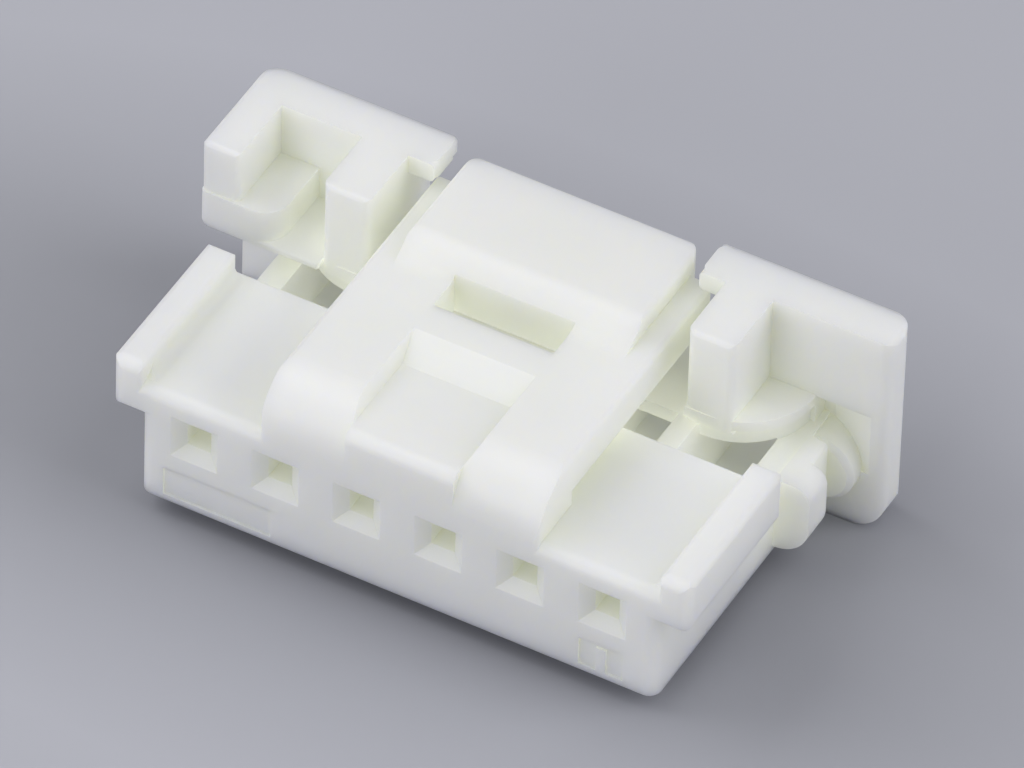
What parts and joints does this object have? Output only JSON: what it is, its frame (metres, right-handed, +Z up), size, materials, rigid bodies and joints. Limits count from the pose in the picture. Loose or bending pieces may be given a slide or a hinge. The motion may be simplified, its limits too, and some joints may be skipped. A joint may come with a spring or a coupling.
{
  "type": "wire to board connector housing",
  "caption": "One-row wire to board connector housing in white plastic, moulded in one with a press latch, side rails, ears and a rear collar.",
  "frame": {"origin": "on the mating face, midway along the row, at the height of the contact row", "axes": "+X along the row, with the side key at its + end; +Y from the mating face to the wire side; +Z up towards the latch"},
  "size_m": [0.016, 0.0084, 0.0056],
  "materials": {
    "natural_plastic": "uncoloured, slightly milky engineering plastic with a fine satin surface"
  },
  "bodies": {
    "root": {"housing": "natural_plastic"}
  },
  "joints": []
}
